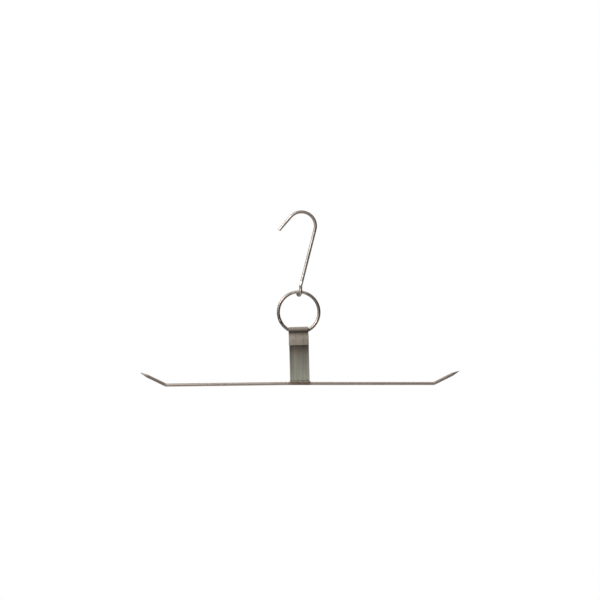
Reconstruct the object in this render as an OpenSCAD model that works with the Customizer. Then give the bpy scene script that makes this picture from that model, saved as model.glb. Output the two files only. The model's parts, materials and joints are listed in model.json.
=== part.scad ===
// Hanging meat hook: a wire hook over a rail carries a loose ring, and the ring carries a folded
// steel strap with a round cross bar welded under it. Both ends of the bar are bent up and ground
// to points that hold the meat. All sizes are in millimetres. The origin is the crotch of the
// hook, the inner top of its big bend, where it rests on the rail. +X is along the bar, +Z is up,
// and the hook opens towards -X.

/* [Hook] */
// Diameter of the hook's wire
wire_d = 4; // [3:0.1:6]
// Inside radius of the big bend that goes over the rail
throat_r = 16; // [12:0.5:25]
// Angle that the big bend runs on from its top towards the tip
tip_angle = 49; // [30:1:80]
// Length of the straight leg between the big bend and the tip
tip_leg = 22; // [10:1:35]
// Angle of the shank to the vertical
shank_lean = 14.2; // [8:0.1:20]
// Length of the straight part of the shank
shank_len = 73.3; // [50:0.1:110]
// Inside radius of the small bend that sets the foot of the shank upright
foot_bend_r = 10; // [5:0.5:20]
// Length of the straight wire between the small bend and the eye
foot_len = 5; // [2:0.5:15]
// Room beside the ring's wire inside the eye
eye_room = 1.2; // [1:0.1:3]
// Angle that the eye is turned out of the plane of the hook
eye_angle = 60; // [56:1:90]
// Length of the straight tail past the half turn of the eye
eye_tail = 0.5; // [0.2:0.1:6]
// Chamfer on the cut ends of the wire
end_chamfer = 0.6; // [0.2:0.1:1.2]

/* [Ring] */
// Diameter of the ring's wire
ring_wire_d = 4; // [3:0.1:6]
// Inside diameter of the ring
ring_inside_d = 48; // [42:0.5:70]
// Length of the butt weld that closes the ring
ring_weld_len = 4; // [2:0.5:8]
// Height of the butt weld above the wire
ring_weld_proud = 0.25; // [0.1:0.05:0.5]
// Place of the butt weld round the ring, from +X over the top
ring_weld_angle = 205; // [150:1:215]

/* [Strap] */
// Width of the strap
strap_w = 25; // [16:0.5:32]
// Thickness of the strap
strap_t = 1.2; // [0.8:0.1:2]
// Drop from the middle of the strap's loop to the middle of the bar
strap_drop = 67; // [50:0.5:120]
// Drop from the middle of the strap's loop to the end of the folded tab
tab_drop = 18; // [15:0.5:30]
// Gap between the tab and the back of the strap
pinch_gap = 0.2; // [0.1:0.05:0.5]
// Radius of the pinch below the loop
pinch_r = 2; // [1:0.1:4]
// Length of the flat between the pinch and the loop
pinch_flat = 0.5; // [0.2:0.1:2]
// Angle that the strap leans out of square with the bar
strap_lean = 1.4; // [0:0.1:3]
// Diameter of the spot welds that hold the tab
spot_d = 5; // [3:0.5:6]

/* [Cross bar] */
// Diameter of the bar
bar_d = 4; // [3:0.1:8]
// Length of each arm from the middle of the bar to the corner of its bend
arm_len = 171.5; // [100:0.5:250]
// Length of each prong from the corner of the bend to the point
prong_len = 36; // [24:0.5:60]
// Angle that each prong is bent up
prong_angle = 26.5; // [10:0.5:60]
// Inside radius of the bend at the prong
prong_bend_r = 4; // [2:0.5:12]
// Length of the ground point
point_len = 10; // [4:0.5:16]
// Diameter left at the very tip of the point
point_tip_d = 0.6; // [0.2:0.1:1.5]
// Angle that the left arm sags, beside the strap
sag_angle = 0.75; // [0.2:0.05:2]
// Radius of the slight bend where the left arm starts to sag
sag_bend_r = 150; // [80:5:300]
// Leg of the weld beads between the strap and the bar
bar_weld_leg = 1.4; // [0.8:0.1:1.8]

/* [Fits] */
// Gap left between pieces that hang in each other
hang_gap = 0.3; // [0.2:0.05:0.6]

/* [Hidden] */
$fn = 64;

wire_r = wire_d / 2;
ring_wire_r = ring_wire_d / 2;
bar_r = bar_d / 2;

// Centreline radii of the hook's bends
throat_bend_r = throat_r + wire_r;
foot_path_r = foot_bend_r + wire_r;
eye_inside_r = ring_wire_r + eye_room;
eye_path_r = eye_inside_r + wire_r;

// Foot of the shank, before the hook is tipped so that its eye hangs under the crotch
foot_x = throat_bend_r * cos(shank_lean) - shank_len * sin(shank_lean) - foot_path_r * (1 - cos(shank_lean));
foot_drop = throat_bend_r * (1 + sin(shank_lean)) - wire_r + shank_len * cos(shank_lean)
    + foot_path_r * sin(shank_lean) + foot_len;
eye_back = eye_path_r * sin(eye_angle);
hook_tilt = atan2(eye_back, foot_drop);

// Middle of the eye, which everything below hangs under
hang_x = foot_x - eye_path_r * cos(eye_angle);
eye_z = -norm([eye_back, foot_drop]);

// The ring's wire rests on the inner bottom of the eye
ring_path_r = ring_inside_d / 2 + ring_wire_r;
ring_top_z = eye_z - eye_inside_r + hang_gap + ring_wire_r;
ring_z = ring_top_z - ring_path_r;
ring_gap_angle = ring_weld_len / ring_path_r * 180 / PI;

// The strap's loop goes round the bottom of the ring, which rises towards the edges of the strap
loop_wire_low = ring_path_r + ring_wire_r;
loop_wire_high = sqrt(pow(ring_inside_d / 2, 2) - pow(strap_w / 2, 2));
loop_z = ring_z - (loop_wire_low + loop_wire_high) / 2;
loop_inside_r = (loop_wire_low - loop_wire_high) / 2 + strap_w / 2 * sin(strap_lean) + hang_gap;

// Midline of the strap: tab, pinch, loop, pinch and back, with a short flat beside the loop
loop_path_r = loop_inside_r + strap_t / 2;
pinch_path_r = pinch_r + strap_t / 2;
both_path_r = loop_path_r + pinch_path_r;
flat_skew = atan2(pinch_flat, both_path_r);
tab_y = -(strap_t + pinch_gap);
front_pinch = acos((pinch_path_r - tab_y) / norm([both_path_r, pinch_flat])) - flat_skew;
back_pinch = acos(pinch_path_r / norm([both_path_r, pinch_flat])) - flat_skew;
front_pinch_drop = both_path_r * sin(front_pinch) + pinch_flat * cos(front_pinch);
back_pinch_drop = both_path_r * sin(back_pinch) + pinch_flat * cos(back_pinch);
tab_flat = tab_drop - front_pinch_drop;
back_flat = strap_drop / cos(strap_lean) - back_pinch_drop;
spot_drop = front_pinch_drop + tab_flat / 2;

// The bar lies under the end of the strap
bar_x = hang_x + strap_drop * tan(strap_lean);
bar_z = loop_z - strap_drop;
prong_path_r = prong_bend_r + bar_r;
prong_setback = prong_path_r * tan(prong_angle / 2);
prong_straight = prong_len - prong_setback - point_len;
sag_start = strap_w / 2 + bar_weld_leg;
sag_arc = sag_bend_r * sag_angle * PI / 180;
weld_corner_z = sqrt(pow(bar_r, 2) - pow(strap_t / 2, 2));

// A bend is a hair thicker than the straight runs, which reach a little into it, so that they
// join as one solid
join_ratio = 1.008;
join_len = 0.05;

// A bar of the first child's section, bent as the steps say, with the second child on its end.
// It starts at the origin along +Z. A step is [length] for a straight run, or [radius, angle,
// roll] for a bend towards +X after the run is rolled about itself. Runs and bends take turns.
module bent_bar(steps, i = 0) {
    if (i == len(steps)) {
        if ($children > 1) children(1);
    } else if (len(steps[i]) == 1) {
        length = steps[i][0];
        reach_back = i > 0 ? join_len : 0;
        reach_on = i + 1 < len(steps) ? join_len : 0;
        translate([0, 0, -reach_back]) linear_extrude(height = reach_back + length + reach_on) children(0);
        translate([0, 0, length]) bent_bar(steps, i + 1) {
            children(0);
            if ($children > 1) children(1);
        }
    } else {
        bend_r = steps[i][0];
        angle = steps[i][1];
        rotate([0, 0, steps[i][2]]) {
            translate([bend_r, 0, 0]) rotate([90, 0, 180])
                rotate_extrude(angle = angle) translate([bend_r, 0]) scale(join_ratio) children(0);
            translate([bend_r * (1 - cos(angle)), 0, bend_r * sin(angle)]) rotate([0, angle, 0])
                bent_bar(steps, i + 1) {
                    children(0);
                    if ($children > 1) children(1);
                }
        }
    }
}

// The chamfered end of a cut wire
module wire_end() {
    cylinder(r1 = wire_r, r2 = wire_r - end_chamfer, h = end_chamfer);
}

// Places a child on the strap, with the middle of the loop at its origin
module on_strap() {
    translate([hang_x, 0, loop_z]) rotate([0, -strap_lean, 0]) children();
}

// One arm of the bar from its middle, with its prong and point
module arm(steps) {
    bent_bar(concat(steps, [[prong_path_r, prong_angle, 180], [prong_straight]])) {
        circle(r = bar_r);
        cylinder(r1 = bar_r, r2 = point_tip_d / 2, h = point_len);
    }
}

// A bead in the corner between one face of the strap and the bar, along the width of the strap
module bar_weld(side) {
    translate([bar_x - strap_w / 2, 0, bar_z]) rotate([90, 0, 90]) linear_extrude(height = strap_w)
        difference() {
            translate([side * strap_t / 2, weld_corner_z]) circle(r = bar_weld_leg);
            circle(r = bar_r);
            translate([-strap_t / 2, 0]) square([strap_t, weld_corner_z + 2 * bar_weld_leg]);
            translate([-side * bar_r - bar_r, 0]) square([2 * bar_r, weld_corner_z + 2 * bar_weld_leg]);
        }
}

// Hook bent from one wire: tip, big bend, slanted shank, and an open eye turned across the shank
module hook() {
    color("#8d857b") rotate([-hook_tilt, 0, 0]) translate([0, 0, wire_r]) {
        rotate([0, 90, 180]) bent_bar([[throat_bend_r, tip_angle, 0], [tip_leg - end_chamfer]]) {
            circle(r = wire_r);
            wire_end();
        }
        rotate([0, 90, 0]) bent_bar([
            [throat_bend_r, 90 + shank_lean, 0],
            [shank_len],
            [foot_path_r, shank_lean, 180],
            [foot_len],
            [eye_path_r, 180, 180 + eye_angle],
            [eye_tail]
        ]) {
            circle(r = wire_r);
            wire_end();
        }
    }
}

// Ring bent from one wire, open where its butt weld closes it
module ring() {
    color("#938b82") translate([hang_x, 0, ring_z]) rotate([90, 0, 0])
        rotate([0, 0, ring_weld_angle + ring_gap_angle / 2])
            rotate_extrude(angle = 360 - ring_gap_angle) translate([ring_path_r, 0]) circle(r = ring_wire_r);
}

// Butt weld between the two ends of the ring's wire
module ring_weld() {
    color("#a39a8c") translate([hang_x, 0, ring_z]) rotate([90, 0, 0])
        rotate([0, 0, ring_weld_angle - ring_gap_angle / 2])
            rotate_extrude(angle = ring_gap_angle) translate([ring_path_r, 0])
                circle(r = ring_wire_r + ring_weld_proud);
}

// Flat strap folded round the ring, pinched under the loop, and cut to sit on the bar
module strap() {
    color("#8a847a") difference() {
        on_strap() translate([0, tab_y, -tab_drop]) rotate([0, 0, -90]) bent_bar([
            [tab_flat],
            [pinch_path_r, front_pinch, 0],
            [pinch_flat],
            [loop_path_r, 180 + front_pinch + back_pinch, 180],
            [pinch_flat],
            [pinch_path_r, back_pinch, 180],
            [back_flat]
        ]) square([strap_t, strap_w], center = true);
        translate([bar_x - strap_w, 0, bar_z]) rotate([0, 90, 0]) cylinder(r = bar_r, h = 2 * strap_w);
    }
}

// Two spot welds between the tab and the back of the strap
module spot_welds() {
    color("#77716a") on_strap() for (side = [-1, 1])
        translate([side * strap_w / 4, -strap_t / 2, -spot_drop]) rotate([90, 0, 0])
            cylinder(d = spot_d, h = pinch_gap);
}

// Round bar with both ends bent up and ground to points
module cross_bar() {
    color("#93877e") translate([bar_x, 0, bar_z]) {
        rotate([0, 90, 0]) arm([[arm_len - prong_setback]]);
        rotate([0, 90, 180]) arm([
            [sag_start],
            [sag_bend_r, sag_angle, 0],
            [arm_len - sag_start - sag_arc - prong_setback]
        ]);
    }
}

// Weld bead on the front of the strap
module bar_weld_front() {
    color("#a39a8c") bar_weld(-1);
}

// Weld bead on the back of the strap
module bar_weld_back() {
    color("#a39a8c") bar_weld(1);
}

hook();
ring();
ring_weld();
strap();
spot_welds();
cross_bar();
bar_weld_front();
bar_weld_back();
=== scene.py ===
import json
import math

import bmesh
import bpy
from mathutils import Matrix, Quaternion, Vector, noise


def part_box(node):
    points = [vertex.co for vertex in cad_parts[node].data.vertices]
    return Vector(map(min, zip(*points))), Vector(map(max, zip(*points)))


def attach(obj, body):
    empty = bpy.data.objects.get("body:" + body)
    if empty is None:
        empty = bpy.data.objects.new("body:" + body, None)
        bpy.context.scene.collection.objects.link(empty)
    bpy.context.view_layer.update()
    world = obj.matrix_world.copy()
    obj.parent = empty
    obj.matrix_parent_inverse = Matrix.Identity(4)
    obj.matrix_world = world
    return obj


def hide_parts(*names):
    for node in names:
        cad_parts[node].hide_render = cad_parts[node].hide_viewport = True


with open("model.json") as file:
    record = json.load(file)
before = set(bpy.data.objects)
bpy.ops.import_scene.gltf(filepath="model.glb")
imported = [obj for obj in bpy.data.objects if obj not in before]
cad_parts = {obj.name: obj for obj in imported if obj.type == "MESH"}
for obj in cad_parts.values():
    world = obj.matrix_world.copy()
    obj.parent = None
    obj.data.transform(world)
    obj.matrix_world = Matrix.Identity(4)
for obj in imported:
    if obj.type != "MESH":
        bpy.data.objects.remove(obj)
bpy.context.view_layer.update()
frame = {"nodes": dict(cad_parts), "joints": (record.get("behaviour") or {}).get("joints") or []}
scene = bpy.context.scene


# Hook: one length of drawn stainless wire, bent cold round formers and cut square with the burr
# taken off. The big bend goes over a rail, the shank slants back under it, and the foot is turned
# out of the plane into an open eye for the ring.
mm = 0.001
wire_r = 2.0 * mm
throat_r = 16.0 * mm
tip_angle = math.radians(49)
tip_leg = 23.0 * mm
shank_lean = math.radians(14.2)
shank_len = 73.3 * mm
foot_bend_r = 10.0 * mm
foot_len = 5.0 * mm
eye_inside_r = 3.2 * mm
eye_angle = math.radians(66)
eye_tail = 0.5 * mm
cut_round = 0.6 * mm
foot_set = 0.9 * mm
foot_set_half = 4.5 * mm
throat_path_r = throat_r + wire_r
wire_sides = 32
hook_dull = (0.235, 0.193, 0.165, 1)
hook_clean = (0.355, 0.295, 0.253, 1)
# Polished colour of the hook, also used for its painted highlight and painted glint.
hook_worn_and_glint = (0.80, 0.76, 0.72, 1)
hook_rough = 0.52

RUN_PITCH = 1.0 * mm
BEND_PITCH = math.radians(3)
MERGE_DIST = 0.001 * mm
X_AXIS = Vector((1, 0, 0))
Y_AXIS = Vector((0, 1, 0))
Z_AXIS = Vector((0, 0, 1))


def bend_stock(points, ahead, side, steps):
    """Runs stock on from the last point. A step is a length, or a bend's radius, angle and roll."""
    points = list(points)
    for step in steps:
        start = points[-1]
        if not isinstance(step, tuple):
            count = max(1, round(step / RUN_PITCH))
            points += [start + ahead * step * (i + 1) / count for i in range(count)]
            continue
        radius, angle, roll = step
        side = Quaternion(ahead, roll) @ side
        axis = ahead.cross(side)
        centre = start + side * radius
        count = max(1, math.ceil(angle / BEND_PITCH))
        for i in range(count):
            points.append(centre - Quaternion(axis, angle * (i + 1) / count) @ side * radius)
        whole_turn = Quaternion(axis, angle)
        ahead, side = whole_turn @ ahead, whole_turn @ side
    return points, ahead, side


def round_cut(points, ahead, radius, rounding, count=5):
    """Adds the deburred end of a cut wire, and gives the points with their radii."""
    radii = [radius] * len(points)
    start = points[-1]
    points = list(points)
    for i in range(count):
        turn = math.pi / 2 * (i + 1) / count
        points.append(start + ahead * rounding * math.sin(turn))
        radii.append(radius - rounding * (1 - math.cos(turn)))
    return points, radii


def path_curve(name, points, radii):
    """A polyline that Geometry Nodes sweep, with the stock's radius at every point."""
    data = bpy.data.curves.new(name, "CURVE")
    data.dimensions = "3D"
    spline = data.splines.new("POLY")
    spline.points.add(len(points) - 1)
    for entry, point, radius in zip(spline.points, points, radii):
        entry.co = (*point, 1)
        entry.radius = radius
    path = bpy.data.objects.new(name, data)
    scene.collection.objects.link(path)
    return path


class Tree:
    """A Geometry Nodes tree with named inputs, whose last step sets the finish."""

    def __init__(self, name, sockets):
        self.group = bpy.data.node_groups.new(name, "GeometryNodeTree")
        self.group.interface.new_socket("Geometry", in_out="INPUT", socket_type="NodeSocketGeometry")
        for label, kind in sockets.items():
            self.group.interface.new_socket(label, in_out="INPUT", socket_type=kind)
        self.group.interface.new_socket("Finish", in_out="INPUT", socket_type="NodeSocketMaterial")
        self.group.interface.new_socket("Geometry", in_out="OUTPUT", socket_type="NodeSocketGeometry")
        self.given = self.group.nodes.new("NodeGroupInput").outputs

    def node(self, kind, settings=None, sockets=None):
        """One node: its type, its settings, and the values or links of its sockets."""
        made = self.group.nodes.new(kind)
        for label, value in (settings or {}).items():
            if label == "capture":
                made.capture_items.new(value, "Kept")
            else:
                setattr(made, label, value)
        for label, value in (sockets or {}).items():
            if isinstance(value, bpy.types.NodeSocket):
                self.group.links.new(value, made.inputs[label])
            else:
                made.inputs[label].default_value = value
        return made.outputs

    def close(self, geometry):
        """Ends the tree in real faces with their finish."""
        real = self.node("GeometryNodeRealizeInstances", sockets={"Geometry": geometry})
        finished = self.node("GeometryNodeSetMaterial",
                             sockets={"Geometry": real[0], "Material": self.given["Finish"]})
        self.node("NodeGroupOutput", sockets={"Geometry": finished[0]})
        return self.group


def sweep_tree(name, sockets, draw_section):
    """A tree that sweeps a section along the path and keeps each point's place on the unbent stock."""
    tree = Tree(name, sockets)
    length = tree.node("GeometryNodeSplineParameter")["Length"]
    path = tree.node("GeometryNodeCaptureAttribute", {"capture": "FLOAT"},
                     {"Geometry": tree.given["Geometry"], "Kept": length})
    section = tree.node("GeometryNodeCaptureAttribute", {"capture": "VECTOR"},
                        {"Geometry": draw_section(tree),
                         "Kept": tree.node("GeometryNodeInputPosition")[0]})
    swept = tree.node("GeometryNodeCurveToMesh", sockets={
        "Curve": path["Geometry"], "Profile Curve": section["Geometry"],
        "Scale": tree.node("GeometryNodeInputRadius")[0], "Fill Caps": True})
    across = tree.node("ShaderNodeSeparateXYZ", sockets={0: section["Kept"]})
    place = tree.node("ShaderNodeCombineXYZ",
                      sockets={"X": path["Kept"], "Y": across["X"], "Z": across["Y"]})
    kept = tree.node("GeometryNodeStoreNamedAttribute", {"data_type": "FLOAT_VECTOR"},
                     {"Geometry": swept[0], "Name": "on_stock", "Value": place[0]})
    smooth = tree.node("GeometryNodeSetShadeSmooth", sockets={"Geometry": kept[0]})
    return tree, smooth[0]


def round_section(tree):
    """A circle of radius 1, which the path's own radius scales."""
    return tree.node("GeometryNodeCurvePrimitiveCircle",
                     sockets={"Resolution": tree.given["Sides"], "Radius": 1.0})["Curve"]


wire_tree, wire_faces = sweep_tree("drawn_wire", {"Sides": "NodeSocketInt"}, round_section)
wire_tree.close(wire_faces)


def make_piece(name, source, tree, inputs, finish):
    """Runs a tree on its path, keeps the result as a plain closed mesh and removes the path."""
    modifier = source.modifiers.new(tree.group.name, "NODES")
    modifier.node_group = tree.group
    identifiers = {item.name: item.identifier for item in tree.group.interface.items_tree
                   if item.in_out == "INPUT"}
    for label, value in {**inputs, "Finish": finish}.items():
        modifier[identifiers[label]] = value
    graph = bpy.context.evaluated_depsgraph_get()
    mesh = bpy.data.meshes.new_from_object(source.evaluated_get(graph), depsgraph=graph)
    bpy.data.objects.remove(source)
    shell = bmesh.new()
    shell.from_mesh(mesh)
    bmesh.ops.remove_doubles(shell, verts=shell.verts, dist=MERGE_DIST)
    bmesh.ops.recalc_face_normals(shell, faces=shell.faces)
    shell.to_mesh(mesh)
    shell.free()
    piece = bpy.data.objects.new(name, mesh)
    scene.collection.objects.link(piece)
    return piece


class Shade:
    """A shader value. Arithmetic on it adds Math nodes to the material."""

    def __init__(self, tree, socket=None):
        self.tree = tree
        self.socket = socket

    def node(self, kind, settings=None, sockets=None, output=0):
        """Any node: its type, its settings, and the values or links of its sockets."""
        made = self.tree.nodes.new(kind)
        for label, value in (settings or {}).items():
            setattr(made, label, value)
        for label, value in (sockets or {}).items():
            if isinstance(value, Shade):
                self.tree.links.new(value.socket, made.inputs[label])
            else:
                made.inputs[label].default_value = value
        return Shade(self.tree, made.outputs[output])

    def math(self, operation, *values):
        return self.node("ShaderNodeMath", {"operation": operation}, dict(enumerate(values)))

    def __abs__(self):
        return self.math("ABSOLUTE", self)

    def __add__(self, other):
        return self.math("ADD", self, other)

    def __radd__(self, other):
        return self.math("ADD", other, self)

    def __sub__(self, other):
        return self.math("SUBTRACT", self, other)

    def __rsub__(self, other):
        return self.math("SUBTRACT", other, self)

    def __mul__(self, other):
        return self.math("MULTIPLY", self, other)

    def __rmul__(self, other):
        return self.math("MULTIPLY", other, self)

    def rise(self, low, high):
        """0 below low and 1 above high, with a soft step between them."""
        return self.node("ShaderNodeMapRange", {"interpolation_type": "SMOOTHSTEP"},
                         {"Value": self, "From Min": low, "From Max": high})

    def parts(self):
        """The three coordinates."""
        return [self.node("ShaderNodeSeparateXYZ", sockets={0: self}, output=i) for i in range(3)]

    def from_front(self):
        """These coordinates without their depth along Y."""
        x, _, z = self.parts()
        return self.node("ShaderNodeCombineXYZ", sockets={"X": x, "Z": z})

    def distance(self, point):
        """How far these coordinates are from a point."""
        return self.node("ShaderNodeVectorMath", {"operation": "DISTANCE"}, {0: self, 1: point},
                         output="Value")

    def grain(self, scale, detail=2.0):
        """Noise on these coordinates, with a scale for each of them."""
        placed = self.node("ShaderNodeMapping", {"vector_type": "POINT"},
                           {"Vector": self, "Scale": scale})
        return self.node("ShaderNodeTexNoise",
                         sockets={"Vector": placed, "Scale": 1.0, "Detail": detail})

    def mix(self, low, high):
        """Colour that goes from low to high as this value goes from 0 to 1."""
        return self.node("ShaderNodeMix", {"data_type": "RGBA"}, {0: self, 6: low, 7: high}, output=2)


def steel(name):
    """A bare metal material, with its shader, its object coordinates and its unbent coordinates."""
    material = bpy.data.materials.new(name)
    material.use_nodes = True
    shader = material.node_tree.nodes["Principled BSDF"]
    shader.inputs["Metallic"].default_value = 1.0
    start = Shade(material.node_tree)
    place = start.node("ShaderNodeTexCoord", output="Object")
    stock = start.node("ShaderNodeAttribute", {"attribute_name": "on_stock"}, output="Vector")
    return material, shader, place, stock


def finish_steel(material, shader, colour, roughness, height, depth):
    """Feeds a metal's shader: colour, roughness, and a bump of that depth."""
    bump = height.node("ShaderNodeBump", sockets={"Height": height, "Distance": depth},
                       output="Normal")
    for label, value in (("Base Color", colour), ("Roughness", roughness), ("Normal", bump)):
        material.node_tree.links.new(value.socket, shader.inputs[label])
    return material


DIE_LINE_SCALE = (60, 26, 26)
STREAK_SCALE = (25, 5, 5)
TARNISH_SCALE = (70, 70, 70)
BELT_RING_SCALE = (3600, 0.15, 0.15)
DIE_LINE_DEPTH = 0.008 * mm
BELT_RING_HEIGHT = 3
STRAW_TINT = (0.34, 0.26, 0.18, 1)
BROWN_TINT = (0.10, 0.08, 0.068, 1)


def drawn_steel(name, dull, clean, worn_and_glint, wear_and_glint, rough, near_weld=None, ground=None):
    """Drawn wire: long die lines, cloudy tarnish, and a second colour where the given mask is 1:
    polish on the ring, darker prongs on the bar, and on the hook polish with a painted highlight and
    glint. The heat of a weld tints it straw and then brown as near_weld(place) goes from 0 to 1, and a
    grinding belt leaves rings of scratches where ground(place) is 1."""
    material, shader, place, stock = steel(name)
    lines = stock.grain(DIE_LINE_SCALE, 3.0)
    streaks = stock.grain(STREAK_SCALE)
    clouds = place.grain(TARNISH_SCALE, 4.0)
    rubbed_and_glint = wear_and_glint(place) * (0.6 + clouds * 0.8)
    bright = (clouds * 0.55 + streaks * 0.45).rise(0.34, 0.66)
    colour = rubbed_and_glint.mix(bright.mix(dull, clean), worn_and_glint)
    if near_weld:
        heat = near_weld(place) + (clouds - 0.5) * 0.3
        colour = (heat.rise(0.1, 0.4) * 0.7).mix(colour, STRAW_TINT)
        colour = (heat.rise(0.35, 0.85) * 0.8).mix(colour, BROWN_TINT)
    roughness = rough - bright * 0.05 + lines * 0.06 - rubbed_and_glint * 0.08
    height = lines * 0.6 + streaks * 0.4
    if ground:
        height = height + stock.grain(BELT_RING_SCALE) * ground(place) * BELT_RING_HEIGHT
    return finish_steel(material, shader, colour, roughness, height, DIE_LINE_DEPTH)


def hook_wear_and_glint(place):
    """The rail rubs the inside of the bend and hands rub the shank. A painted highlight lightens the
    tip side of the bend and the tip leg, and a painted glint lights the foot bend."""
    x, _, z = place.parts()
    throat = place.from_front().distance((0, 0, -throat_r))
    inside = 1 - throat.rise(throat_r, throat_r + 0.5 * wire_r)
    # Painted highlight on the tip side of the bend and on the tip leg.
    tip_highlight = 1 - x.rise(-0.9 * throat_r, 0)
    at_bend = z.rise(-2 * throat_r, -1.5 * throat_r)
    rail_wear_and_highlight = at_bend * inside.math("MAXIMUM", inside, tip_highlight)
    # Painted glint where the wire turns into the foot.
    foot_glint = (z.rise(foot_middle - 2 * mm, foot_middle + 1.5 * mm)
              * (1 - z.rise(foot_middle + 2.5 * mm, foot_middle + 6 * mm)))
    by_hand = 1 - z.rise(-1.9 * throat_r, -1.2 * throat_r)
    return rail_wear_and_highlight * 0.4 + by_hand * 0.2 + foot_glint


apex = Vector((0, 0, wire_r))
tip, tip_ahead, _ = bend_stock([apex], -X_AXIS, -Z_AXIS,
                               [(throat_path_r, tip_angle, 0), tip_leg - cut_round])
tip, tip_radii = round_cut(tip, tip_ahead, wire_r, cut_round)
shank, ahead, side = bend_stock([apex], X_AXIS, -Z_AXIS, [
    (throat_path_r, math.pi / 2 + shank_lean, 0), shank_len])
foot_middle = shank[-1].z
shank, ahead, side = bend_stock(shank, ahead, side, [
    (foot_bend_r + wire_r, shank_lean, math.pi), foot_len])
eye_start = shank[-1]
shank, ahead, side = bend_stock(shank, ahead, side, [
    (eye_inside_r + wire_r, math.pi, math.pi + eye_angle)])
eye = (eye_start + shank[-1]) / 2
shank, ahead, _ = bend_stock(shank, ahead, side, [eye_tail])
shank, shank_radii = round_cut(shank, ahead, wire_r, cut_round)
hang = Matrix.Rotation(-math.atan2(eye.y, -eye.z), 3, "X")
hook_points = [hang @ point for point in tip[:0:-1] + shank]
# The jaw of the bender has set the wire slightly forward at the foot.
for point in hook_points:
    off_foot = min(1.0, abs(point.z - foot_middle) / foot_set_half)
    point.y -= foot_set * math.cos(math.pi / 2 * off_foot) ** 2
hook_path = path_curve("hook_path", hook_points, tip_radii[:0:-1] + shank_radii)
hook_steel = drawn_steel("hook_drawn_steel", hook_dull, hook_clean, hook_worn_and_glint, hook_wear_and_glint,
                         hook_rough)
hook = make_piece("hook_wire", hook_path, wire_tree, {"Sides": wire_sides}, hook_steel)
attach(hook, "hook_body")
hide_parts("hook")


# Ring: the same drawn wire rolled to a circle and cut, so that its two ends meet in a butt weld.
# It hangs loose in the hook's eye and carries the strap.
ring_low, ring_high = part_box("ring")
ring_centre = (ring_low + ring_high) / 2
ring_wire_r = (ring_high.y - ring_low.y) / 2
ring_path_r = (ring_high.x - ring_low.x) / 2 - ring_wire_r
ring_weld_turn = math.radians(205)
butt_gap = 0.4 * mm
butt_bevel = 0.5 * mm
ring_pitch = math.radians(2.5)
rubbed_half = 6.0 * mm
rubbed_fade = 6.0 * mm
heat_reach = 8.0 * mm
ring_dull = (0.215, 0.177, 0.151, 1)
ring_clean = (0.34, 0.285, 0.246, 1)
ring_bright = (0.62, 0.56, 0.51, 1)
ring_rough = 0.42


def on_ring(turn):
    """A point of the ring's centreline, turned from +X over the top."""
    return ring_centre + ring_path_r * Vector((math.cos(turn), 0, math.sin(turn)))


def ring_wear(place):
    """The hook's eye rubs the ring bright as it slides along the top."""
    x, _, z = place.parts()
    upper_half = z.rise(ring_centre.z, ring_centre.z + 5 * mm)
    near_eye = 1 - abs(x - ring_centre.x).rise(rubbed_half, rubbed_half + rubbed_fade)
    return upper_half * near_eye * 0.8


def near_ring_weld(place):
    """1 at the ring's weld, and 0 a few wires away from it."""
    away = place.distance(on_ring(ring_weld_turn))
    return 1 - away.rise(ring_wire_r, ring_wire_r + heat_reach)


half_gap = butt_gap / 2 / ring_path_r
bevel_turn = butt_bevel / ring_path_r
ring_turns = [ring_weld_turn + half_gap]
ring_span = math.tau - 2 * (half_gap + bevel_turn)
ring_count = math.ceil(ring_span / ring_pitch)
ring_turns += [ring_weld_turn + half_gap + bevel_turn + ring_span * i / ring_count
               for i in range(ring_count + 1)]
ring_turns.append(ring_weld_turn - half_gap + math.tau)
ring_radii = [ring_wire_r] * len(ring_turns)
ring_radii[0] = ring_radii[-1] = ring_wire_r - butt_bevel
ring_path = path_curve("ring_path", [on_ring(turn) for turn in ring_turns], ring_radii)
ring_steel = drawn_steel("ring_drawn_steel", ring_dull, ring_clean, ring_bright, ring_wear,
                         ring_rough, near_ring_weld)
ring = make_piece("ring_wire", ring_path, wire_tree, {"Sides": wire_sides}, ring_steel)
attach(ring, "ring_body")
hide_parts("ring")


# Ring weld: the bead that closes the ring, run round the joint in a few overlapping dabs and left
# as welded. It stands a hair proud of the wire and is tinted brown by the heat.
ring_weld_len = 4.0 * mm
ring_weld_proud = 0.25 * mm
ring_weld_toe = 0.1 * mm
ring_dab_pitch = 1.7 * mm
ring_dab_height = 0.05 * mm
ring_skin_height = 0.08 * mm
bead_steps = 40
weld_brown = (0.19, 0.155, 0.125, 1)
weld_straw = (0.36, 0.31, 0.25, 1)
weld_grey = (0.24, 0.235, 0.225, 1)
pit_depth = 0.05 * mm

DAB_CURL = 0.7
DAB_DRIFT = 3.0
DAB_STEEPNESS = 0.6
DRIFT_SCALE = 350.0
SKIN_SCALE = 1800.0


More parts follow.
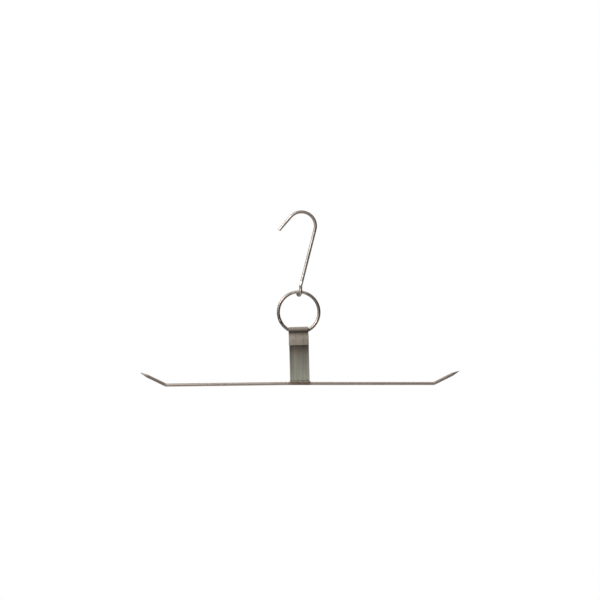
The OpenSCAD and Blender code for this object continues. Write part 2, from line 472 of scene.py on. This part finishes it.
def bead_tree():
    """A tree that sweeps a bead and raises the ripples that its dabs leave, with a rough skin."""
    tree, faces = sweep_tree("weld_bead", {
        "Sides": "NodeSocketInt", "Dab pitch": "NodeSocketFloat", "Ripple height": "NodeSocketFloat",
        "Skin height": "NodeSocketFloat"}, round_section)
    place = tree.node("GeometryNodeInputNamedAttribute", {"data_type": "FLOAT_VECTOR"},
                      {"Name": "on_stock"})
    parts = tree.node("ShaderNodeSeparateXYZ", sockets={0: place["Attribute"]})

    def math_node(operation, *values):
        return tree.node("ShaderNodeMath", {"operation": operation}, dict(enumerate(values)))[0]

    sway = tree.node("ShaderNodeTexNoise", sockets={"Scale": DRIFT_SCALE, "Detail": 1.0})["Fac"]
    drift = math_node("MULTIPLY", sway, DAB_DRIFT)
    curl = math_node("MULTIPLY", math_node("POWER", parts["Y"], 2.0), DAB_CURL)
    dabs = math_node("ADD", math_node("DIVIDE", parts["X"], tree.given["Dab pitch"]),
                     math_node("ADD", curl, drift))
    wave = math_node("POWER", math_node("FRACT", dabs), DAB_STEEPNESS)
    skin = tree.node("ShaderNodeTexNoise", sockets={"Scale": SKIN_SCALE, "Detail": 2.0})["Fac"]
    height = math_node("ADD", math_node("MULTIPLY", wave, tree.given["Ripple height"]),
                       math_node("MULTIPLY", skin, tree.given["Skin height"]))
    normal = tree.node("GeometryNodeInputNormal")["Normal"]
    offset = tree.node("ShaderNodeVectorMath", {"operation": "SCALE"}, {0: normal, "Scale": height})
    moved = tree.node("GeometryNodeSetPosition", sockets={"Geometry": faces, "Offset": offset[0]})
    tree.close(moved[0])
    return tree


weld_tree = bead_tree()


def welded_steel(name):
    """Weld metal: heat tints from straw to brown and grey, in cloudy bands along the bead."""
    material, shader, place, stock = steel(name)
    bands = stock.grain((420, 1.2, 1.2), 3.0)
    clouds = place.grain((350, 350, 350), 3.0)
    pits = place.grain((2500, 2500, 2500))
    tint = bands.rise(0.35, 0.6).mix(weld_brown, weld_straw)
    colour = (clouds.rise(0.5, 0.75) * 0.7).mix(tint, weld_grey)
    roughness = 0.34 + pits * 0.2
    return finish_steel(material, shader, colour, roughness, pits, pit_depth)


weld_steel = welded_steel("weld_steel")
bead_half = ring_weld_len / 2 / ring_path_r
bead_turns = [ring_weld_turn + bead_half * (2 * i / bead_steps - 1) for i in range(bead_steps + 1)]
bead_rise = ring_weld_proud - ring_dab_height
ring_bead_radii = [ring_wire_r - ring_weld_toe + bead_rise * math.sin(math.pi * i / bead_steps) ** 0.5
                   for i in range(bead_steps + 1)]
ring_bead_path = path_curve("ring_bead_path", [on_ring(turn) for turn in bead_turns], ring_bead_radii)
ring_bead = make_piece("ring_weld_bead", ring_bead_path, weld_tree, {
    "Sides": wire_sides, "Dab pitch": ring_dab_pitch, "Ripple height": ring_dab_height,
    "Skin height": ring_skin_height}, weld_steel)
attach(ring_bead, "ring_body")
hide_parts("ring_weld")


# Strap: stainless strip, brushed along its length, folded round the bottom of the ring. The short
# front end is pinched below the loop and spot welded to the long back leaf, which the heat of the
# welds has left slightly bowed.
loop_joint = next(joint for joint in frame["joints"] if joint["name"] == "strap_swing")
loop_centre = Vector(loop_joint["pos_m"])
strap_lean = math.atan2(loop_joint["axis"][2], loop_joint["axis"][0])
strap_w = 25.0 * mm
strap_t = 1.2 * mm
strap_drop = 67.0 * mm
tab_drop = 18.0 * mm
pinch_gap = 0.2 * mm
pinch_r = 2.0 * mm
pinch_flat = 0.5 * mm
loop_inside_r = 4.3615 * mm
edge_round = 0.25 * mm
bow_angle = math.radians(2.5)
bow_end_r = 30.0 * mm
bar_r = 2.0 * mm
strap_sink = 0.15 * mm
tab_skew = 0.45 * mm
spot_low, spot_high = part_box("spot_welds")
spot_r = 2.5 * mm
spot_dent = 0.08 * mm
bow_lead = 1.0 * mm
strip_rows = 51
brush_depth = 0.02 * mm
# Dark tints: painted shade on the loop and under the tab, and heat tint beside the bar weld.
shade_and_heat_tints = ((0.068, 0.058, 0.049, 1), (0.138, 0.117, 0.099, 1))
straw_tints = ((0.50, 0.435, 0.365, 1), (0.79, 0.69, 0.58, 1))
plain_tints = ((0.46, 0.455, 0.38, 1), (0.74, 0.735, 0.615, 1))
spot_places = (Vector((spot_low.x + spot_r, 0, spot_low.z + spot_r)),
               Vector((spot_high.x - spot_r, 0, spot_high.z - spot_r)))

loop_path_r = loop_inside_r + strap_t / 2
pinch_path_r = pinch_r + strap_t / 2
both_r = loop_path_r + pinch_path_r
slope = math.atan2(pinch_flat, both_r)
tab_y = -(strap_t + pinch_gap)
front_pinch = math.acos((pinch_path_r - tab_y) / math.hypot(both_r, pinch_flat)) - slope
back_pinch = math.acos(pinch_path_r / math.hypot(both_r, pinch_flat)) - slope
front_drop = both_r * math.sin(front_pinch) + pinch_flat * math.cos(front_pinch)
back_drop = both_r * math.sin(back_pinch) + pinch_flat * math.cos(back_pinch)
leaf_len = strap_drop / math.cos(strap_lean) - back_drop - bar_r + strap_sink
covered_len = tab_drop - back_drop - bow_lead
bow_ends = 2 * bow_end_r * math.sin(bow_angle)
bow_r = (leaf_len - covered_len - bow_ends) / 2 / math.sin(bow_angle)

tab_len = tab_drop - front_drop
loop_len = loop_path_r * (math.pi + front_pinch + back_pinch) + 2 * pinch_flat
loop_start = tab_len + pinch_path_r * front_pinch
loop_front = loop_start + pinch_flat + loop_path_r * front_pinch
loop_top = loop_front + loop_path_r * math.pi / 2
leaf_start = loop_start + loop_len + pinch_path_r * back_pinch
leaf_top = leaf_start + covered_len
leaf_end = leaf_start + leaf_len
strap_points, _, _ = bend_stock([Vector((0, tab_y, -tab_drop))], Z_AXIS, -Y_AXIS, [
    tab_len, (pinch_path_r, front_pinch, 0), pinch_flat,
    (loop_path_r, math.pi + front_pinch + back_pinch, math.pi), pinch_flat,
    (pinch_path_r, back_pinch, math.pi), covered_len,
    (bow_end_r, bow_angle, 0), (bow_r, 2 * bow_angle, math.pi), (bow_end_r, bow_angle, math.pi)])
lean = Matrix.Rotation(-strap_lean, 3, "Y")
strap_points = [loop_centre + lean @ point for point in strap_points]


def flat_section(tree):
    """A line across the strip, in rows enough for its dents."""
    line = tree.node("GeometryNodeCurvePrimitiveLine", sockets={
        "Start": (0, -strap_w / 2, 0), "End": (0, strap_w / 2, 0)})
    return tree.node("GeometryNodeResampleCurve",
                     sockets={"Curve": line[0], "Count": tree.given["Rows"]})["Curve"]


strip_tree, strip_faces = sweep_tree("folded_strip", {"Rows": "NodeSocketInt"}, flat_section)
strip_tree.close(strip_faces)


def brushed_steel(name):
    """Brushed strip with faint marks of its spot welds. Its colour paints shade: dark on the front of
    the loop, behind the ring and on the top of the leaf under the tab, lightening down the leaf, while
    the top of the loop is light and the tab a little darker towards its lower edge. Near the bar the
    dark is heat tint from the weld."""
    material, shader, place, stock = steel(name)
    along = stock.parts()[0]
    fine = stock.grain((14, 1, 3800))
    broad = stock.grain((9, 1, 420))
    clouds = place.grain((60, 60, 60), 3.0)
    before_loop = 1 - along.rise(loop_start + 0.3 * mm, loop_start + 4.0 * mm)
    tab = before_loop * (0.54 + along.rise(0, tab_len) * 0.15)
    # Painted shade: the loop's front and back and the leaf under the tab take the dark tint; the top
    # of the loop stays light.
    shade_behind_ring = along.rise(leaf_start - 9 * mm, leaf_start - 3 * mm)
    lit_loop_top = along.rise(loop_front, loop_top) * (1 - shade_behind_ring)
    shade_fade_below_tab = (along.rise(loop_top, leaf_start) * 0.06
             + along.rise(leaf_top + 1 * mm, leaf_top + 15 * mm) * 0.26
             + along.rise(leaf_top, leaf_end) * 0.42)
    heated = along.rise(leaf_end - 3.5 * mm, leaf_end - 1 * mm)
    flat = place.from_front()
    spot_marks = sum(1 - flat.distance(spot).rise(0.5 * spot_r, 1.4 * spot_r) for spot in spot_places)
    clear = (tab + lit_loop_top + shade_fade_below_tab * (1 - heated * 0.7)) * (1 - spot_marks * 0.17)
    bright = (broad * 0.6 + fine * 0.2 + clouds * 0.2).rise(0.3, 0.7)
    low_leaf = along.rise(leaf_top + 10 * mm, leaf_top + 19 * mm)
    cleared = low_leaf.mix(bright.mix(*straw_tints), bright.mix(*plain_tints))
    colour = clear.mix(bright.mix(*shade_and_heat_tints), cleared)
    roughness = 0.42 + fine * 0.12 + tab * 0.06
    return finish_steel(material, shader, colour, roughness, fine * 0.7 + broad * 0.3, brush_depth)


strap_path = path_curve("strap_path", strap_points, [1.0] * len(strap_points))
strap_steel = brushed_steel("strap_brushed_steel")
strap = make_piece("strap_strip", strap_path, strip_tree, {"Rows": strip_rows}, strap_steel)
# The spot welds have dented the tab and the leaf, and the tab was folded slightly askew.
for vertex, place in zip(strap.data.vertices, strap.data.attributes["on_stock"].data):
    round_loop = min(1.0, max(0.0, (place.vector.x - loop_start) / loop_len))
    if round_loop in (0.0, 1.0):
        away = min(math.hypot(vertex.co.x - spot.x, vertex.co.z - spot.z) for spot in spot_places)
        dent = spot_dent * math.cos(math.pi / 2 * min(1.0, away / spot_r)) ** 2
        vertex.co.y += dent * (1 - 2 * round_loop)
    vertex.co.x -= tab_skew * (1 - round_loop)
wall = strap.modifiers.new("wall", "SOLIDIFY")
wall.thickness = strap_t
wall.offset = 0
wall.use_even_offset = True
rim = strap.modifiers.new("rim", "BEVEL")
rim.width = edge_round
rim.segments = 3
rim.limit_method = "ANGLE"
rim.angle_limit = math.radians(60)
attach(strap, "strap_body")
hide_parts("strap")


# Spot welds: two buttons of fused metal between the tab and the back leaf, hidden in the gap.
# Their shape in the frame is right, so only their finish is set.
spots = frame["nodes"]["spot_welds"]
spots.data.materials.clear()
spots.data.materials.append(weld_steel)


# Cross bar: drawn stainless rod, both ends bent up cold and ground to points on a belt, which
# leaves rings of fine scratches. The left arm has sagged a little beside the strap.
bar_centre = Vector((loop_centre.x + strap_drop * math.tan(strap_lean), 0, loop_centre.z - strap_drop))
arm_len = 171.5 * mm
prong_len = 36.0 * mm
prong_angle = math.radians(26.5)
prong_bend_r = 4.0 * mm
point_len = 10.0 * mm
point_tip_r = 0.3 * mm
sag_start = 13.9 * mm
sag_angle = math.radians(0.75)
sag_r = 150.0 * mm
point_steps = 24
point_swell = 1.15
strap_heat = 0.68
bar_dull = (0.38, 0.315, 0.275, 1)
bar_clean = (0.45, 0.375, 0.33, 1)
bar_prong_dark = (0.25, 0.205, 0.18, 1)
bar_rough = 0.44
prong_path_r = prong_bend_r + bar_r
prong_setback = prong_path_r * math.tan(prong_angle / 2)


def arm(ahead, steps):
    """One arm from the middle of the bar out to its point, with the radius at every place."""
    points, ahead, _ = bend_stock([bar_centre], ahead, -Z_AXIS, steps + [
        (prong_path_r, prong_angle, math.pi), prong_len - prong_setback - point_len])
    radii = [bar_r] * len(points)
    start = points[-1]
    for i in range(point_steps):
        share = (i + 1) / point_steps
        points.append(start + ahead * point_len * share)
        radii.append(point_tip_r + (bar_r - point_tip_r) * (1 - share ** point_swell))
    return points, radii


def bar_reach(place):
    """Distance from the middle of the bar, to either side."""
    return abs(place.parts()[0] - bar_centre.x)


def on_prongs(place):
    """The prongs are coloured darker than the arms."""
    return bar_reach(place).rise(arm_len - 3 * mm, arm_len + 5 * mm) * 0.6


def on_points(place):
    """1 on the ground points, and 0 on the drawn rod."""
    point_reach = arm_len + (prong_len - point_len) * math.cos(prong_angle)
    return bar_reach(place).rise(point_reach - 0.4 * mm, point_reach + 0.4 * mm)


def near_strap(place):
    """About two thirds under the strap, where the bar is welded to it, and 0 a little beside it."""
    beside = bar_reach(place).rise(strap_w / 2 - 2 * mm, strap_w / 2 + 6 * mm)
    return strap_heat - beside * strap_heat


right_arm, right_radii = arm(X_AXIS, [arm_len - prong_setback])
left_arm, left_radii = arm(-X_AXIS, [
    sag_start, (sag_r, sag_angle, 0), arm_len - sag_start - sag_r * sag_angle - prong_setback])
bar_path = path_curve("bar_path", left_arm[:0:-1] + right_arm, left_radii[:0:-1] + right_radii)
bar_steel = drawn_steel("bar_drawn_steel", bar_dull, bar_clean, bar_prong_dark, on_prongs, bar_rough,
                        near_strap, on_points)
bar = make_piece("cross_bar_rod", bar_path, wire_tree, {"Sides": wire_sides}, bar_steel)
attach(bar, "strap_body")
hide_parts("cross_bar")


# Bar welds: one bead along each face of the strap, in the corner with the bar, run in overlapping
# dabs that end in a small flare round the strap's corners. Left as welded.
bead_r = 0.95 * mm
bead_out = 0.35 * mm
bead_up = 0.40 * mm
bead_flare = 0.9 * mm
bead_pitch = 0.15 * mm
bead_wobble = 0.1 * mm
wobble_len = 3.0 * mm
bead_end_share = 0.05
bead_sides = 24
dab_pitch = 1.5 * mm
dab_height = 0.11 * mm
skin_height = 0.09 * mm
corner_z = math.sqrt(bar_r ** 2 - (strap_t / 2) ** 2)

bead_reach = strap_w / 2 + bead_flare
bead_count = round(2 * bead_reach / bead_pitch)

for label, face in (("front", -1), ("back", 1)):
    bead_points = []
    bead_radii = []
    for i in range(bead_count + 1):
        along = bead_reach * (2 * i / bead_count - 1)
        from_end = min(1.0, (bead_reach - abs(along)) / (2 * bead_flare))
        wobble = bead_wobble * noise.noise(Vector((along / wobble_len, face, 0)))
        bead_points.append(bar_centre + Vector((
            along, face * (strap_t / 2 + bead_out + wobble), corner_z + bead_up + wobble)))
        bead_radii.append(bead_r * math.sqrt(max(bead_end_share, 1 - (1 - from_end) ** 2)))
    bead_path = path_curve("bead_path", bead_points, bead_radii)
    bead = make_piece("bar_weld_bead_" + label, bead_path, weld_tree, {
        "Sides": bead_sides, "Dab pitch": dab_pitch, "Ripple height": dab_height,
        "Skin height": skin_height}, weld_steel)
    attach(bead, "strap_body")
    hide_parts("bar_weld_" + label)


# Studio: a plain pale floor far below the hanging part, a soft lamp from the upper left, and a
# room that is white behind the part, bright above it and dark in front below it.
scene.view_settings.view_transform = "Standard"
floor_z = -0.75
floor_half = 2.0
floor_pale = (0.75, 0.75, 0.74, 1)
white_light = (1, 1, 1, 1)
floor_mesh = bpy.data.meshes.new("floor")
floor_mesh.from_pydata([(-floor_half, -floor_half, floor_z), (floor_half, -floor_half, floor_z),
                        (floor_half, floor_half, floor_z), (-floor_half, floor_half, floor_z)],
                       [], [(0, 1, 2, 3)])
floor = bpy.data.objects.new("floor", floor_mesh)
scene.collection.objects.link(floor)
paper = bpy.data.materials.new("floor_paper")
paper.use_nodes = True
paper_tree = paper.node_tree
paper_tree.nodes.remove(paper_tree.nodes["Principled BSDF"])
rays = Shade(paper_tree)
RAYS = ("Is Camera Ray", "Is Glossy Ray", "Is Transmission Ray")
seen, glossy, through = [rays.node("ShaderNodeLightPath", output=kind) for kind in RAYS]
far = rays.node("ShaderNodeTexCoord", output="Object").parts()[1].rise(0.5 * floor_half, floor_half)
matt = rays.node("ShaderNodeBsdfDiffuse", sockets={"Color": floor_pale})
white = rays.node("ShaderNodeEmission", sockets={"Color": white_light, "Strength": 1.0})
share = seen + rays.math("MAXIMUM", glossy, through) * far
shown = rays.node("ShaderNodeMixShader", sockets={0: share, 1: matt, 2: white})
paper_tree.links.new(shown.socket, paper_tree.nodes["Material Output"].inputs["Surface"])
floor_mesh.materials.append(paper)

dark_below = 0.03
middle_step = 0.06
top_step = 0.75
room = bpy.data.worlds.new("room")
room.use_nodes = True
scene.world = room
sky = Shade(room.node_tree)
seen, glossy, through = [sky.node("ShaderNodeLightPath", output=kind) for kind in RAYS]
_, y, z = sky.node("ShaderNodeTexCoord", output="Generated").parts()
room_tone = dark_below + z.rise(-0.25, 0.10) * middle_step + z.rise(0.35, 0.95) * top_step
share = seen + sky.math("MAXIMUM", glossy, through) * y.rise(0.90, 1.0)
tone = room_tone + (1 - room_tone) * share
background = room.node_tree.nodes["Background"]
room.node_tree.links.new(tone.socket, background.inputs["Color"])

lamp_data = bpy.data.lights.new("softbox", "AREA")
lamp_data.shape = "RECTANGLE"
lamp_data.size = 0.5
lamp_data.size_y = 1.2
lamp_data.energy = 8.0
lamp_data.spread = math.radians(90)
softbox = bpy.data.objects.new("softbox", lamp_data)
scene.collection.objects.link(softbox)
picture_middle = Vector((-1.79 * mm, 0, -110.77 * mm))
lamp_side = Vector((-0.99, -1.03, 0.72))
lamp_away = lamp_side.normalized()
lamp_across = lamp_away.cross(Y_AXIS).normalized()
softbox.matrix_world = Matrix.Translation(picture_middle + lamp_side) @ Matrix((
    lamp_across, lamp_away.cross(lamp_across), lamp_away)).transposed().to_4x4()

picture_width = 768.0 * mm
camera_data = bpy.data.cameras.new("camera")
camera_data.lens = 100.0
camera = bpy.data.objects.new("camera", camera_data)
scene.collection.objects.link(camera)
lens_reach = camera_data.lens / camera_data.sensor_width
camera.location = picture_middle - Y_AXIS * picture_width * lens_reach
camera.rotation_euler = (math.pi / 2, 0, 0)
scene.camera = camera
